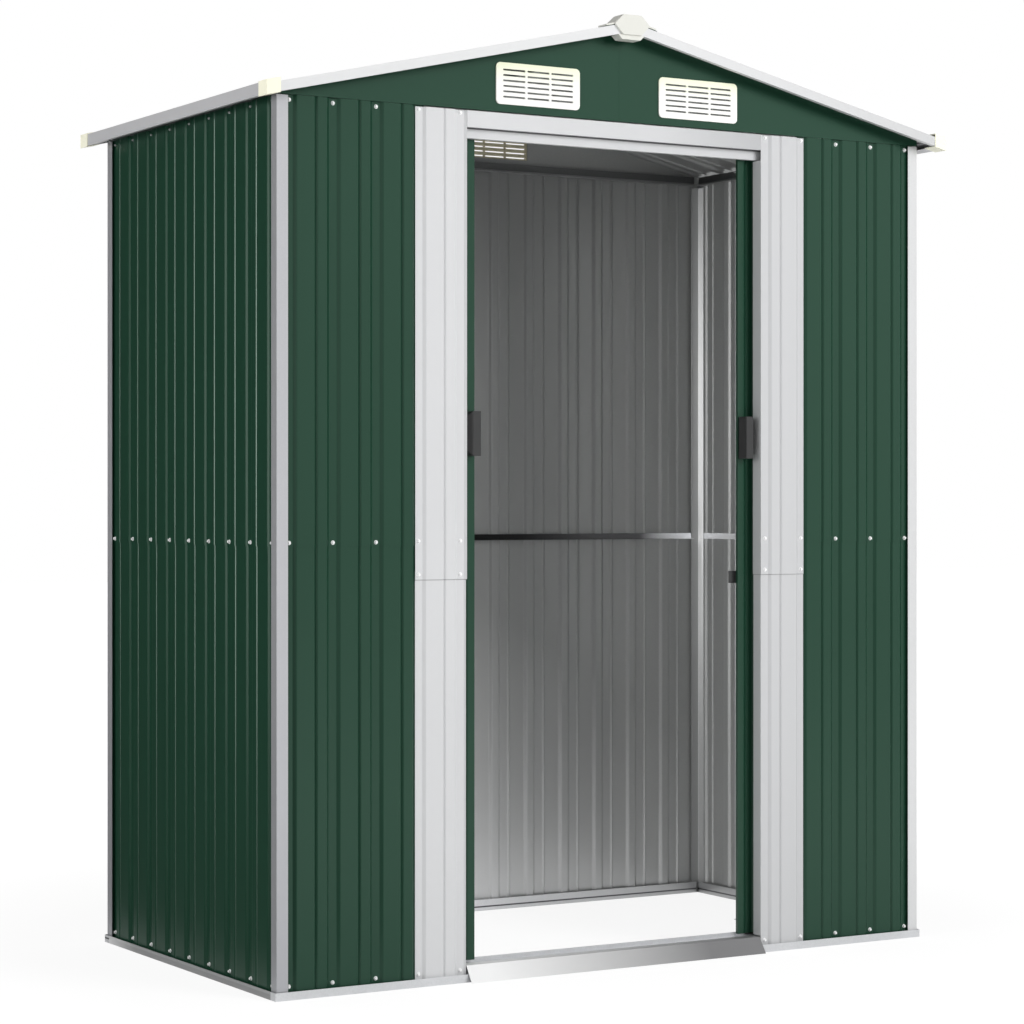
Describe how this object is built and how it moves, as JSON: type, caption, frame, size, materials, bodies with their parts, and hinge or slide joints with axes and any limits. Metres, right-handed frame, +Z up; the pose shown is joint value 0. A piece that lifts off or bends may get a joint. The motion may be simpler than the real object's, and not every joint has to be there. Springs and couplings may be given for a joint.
{
  "type": "metal storage shed",
  "caption": "Ribbed sheet-metal garden storage shed with a gable roof, louvred gable vents and a pair of sliding doors behind white jambs.",
  "frame": {"origin": "on the ground under the middle of the shed's footprint", "axes": "+Z up, +Y from the door side to the back wall, +X to the right of a person facing the doors"},
  "size_m": [1.9012, 1.0906, 2.2522],
  "materials": {
    "green_sheet": "satin",
    "white_sheet": "satin",
    "zinc_steel": "satin",
    "cream_plastic": "matte",
    "dark_plastic": "matte"
  },
  "bodies": {
    "shed": {"base_rail_front": "zinc_steel", "base_rail_back": "zinc_steel", "base_rail_left": "zinc_steel", "base_rail_right": "zinc_steel", "door_ramp": "zinc_steel", "lower_door_track": "zinc_steel", "corner_post_front_left": "zinc_steel", "corner_post_front_right": "zinc_steel", "corner_post_back_left": "zinc_steel", "corner_post_back_right": "zinc_steel", "inner_corner_angles": "zinc_steel", "front_wall_left_lower": "green_sheet", "front_wall_left_upper": "green_sheet", "front_wall_right_lower": "green_sheet", "front_wall_right_upper": "green_sheet", "left_wall_lower": "green_sheet", "left_wall_upper": "green_sheet", "right_wall_lower": "green_sheet", "right_wall_upper": "green_sheet", "back_wall_lower": "green_sheet", "back_wall_upper": "green_sheet", "mid_rails": "zinc_steel", "top_rails": "zinc_steel", "door_jamb_left": "white_sheet", "door_jamb_right": "white_sheet", "door_header": "white_sheet", "upper_door_track": "white_sheet", "gable_front_left": "green_sheet", "gable_front_right": "green_sheet", "gable_back_left": "green_sheet", "gable_back_right": "green_sheet", "gable_vents": "cream_plastic", "ridge_beam": "zinc_steel", "roof_left": "green_sheet", "roof_right": "green_sheet", "rake_trims": "white_sheet", "eave_trims": "zinc_steel", "ridge_cap": "green_sheet", "roof_corner_caps": "cream_plastic", "ridge_end_caps": "cream_plastic"},
    "left_door": {"left_door_panel": "green_sheet", "left_door_rails": "zinc_steel", "left_door_guides": "dark_plastic", "left_door_handle": "dark_plastic"},
    "right_door": {"right_door_panel": "green_sheet", "right_door_rails": "zinc_steel", "right_door_guides": "dark_plastic", "right_door_handle": "dark_plastic", "right_door_latch": "zinc_steel"}
  },
  "joints": [
    {"name": "left_door_slide", "type": "slide", "parent": "shed", "child": "left_door", "axis": [1, 0, 0], "range_m": [0, 0.37]},
    {"name": "right_door_slide", "type": "slide", "parent": "shed", "child": "right_door", "axis": [-1, 0, 0], "range_m": [0, 0.37]}
  ]
}
